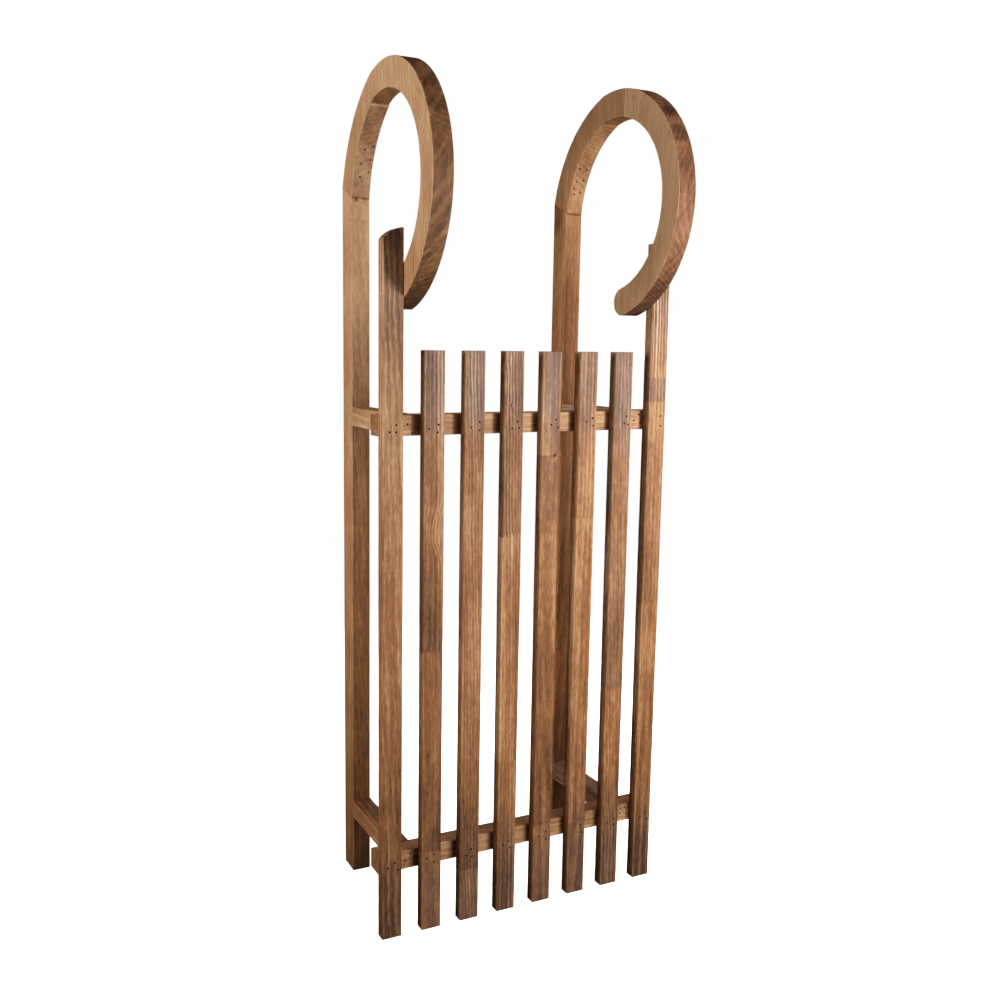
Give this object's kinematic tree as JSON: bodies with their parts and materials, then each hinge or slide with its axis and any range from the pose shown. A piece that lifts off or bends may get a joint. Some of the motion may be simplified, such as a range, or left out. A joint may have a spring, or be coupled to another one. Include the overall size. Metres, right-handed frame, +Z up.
{
  "type": "wooden horn sled",
  "caption": "Stained wooden horn sled standing upright on its tail: curled runners, struts, crossbars and a row of slats between longer outer rails.",
  "frame": {"origin": "on the floor, under the middle of the bounding box", "axes": "+X to the right as seen from the slat side, -Y the side of the slats and horn fronts, +Y the runners' soles, +Z up from the tail ends to the horn crowns"},
  "size_m": [0.375, 0.276, 1],
  "materials": {
    "runner_wood": "stained softwood, satin",
    "horn_wood": "stained softwood, satin",
    "frame_wood": "stained softwood, satin",
    "rail_wood": "stained softwood, satin",
    "slat_wood": "stained softwood, satin"
  },
  "bodies": {
    "root": {"runner_left": "runner_wood", "runner_right": "runner_wood", "horn_heel_left": "horn_wood", "horn_heel_right": "horn_wood", "horn_crown_left": "horn_wood", "horn_crown_right": "horn_wood", "horn_nose_left": "horn_wood", "horn_nose_right": "horn_wood", "strut_lower_left": "frame_wood", "strut_lower_right": "frame_wood", "strut_upper_left": "frame_wood", "strut_upper_right": "frame_wood", "crossbar_lower": "frame_wood", "crossbar_upper": "frame_wood", "rail_left": "rail_wood", "rail_right": "rail_wood", "slat_1": "slat_wood", "slat_2": "slat_wood", "slat_3": "slat_wood", "slat_4": "slat_wood", "slat_5": "slat_wood", "slat_6": "slat_wood"}
  },
  "joints": []
}
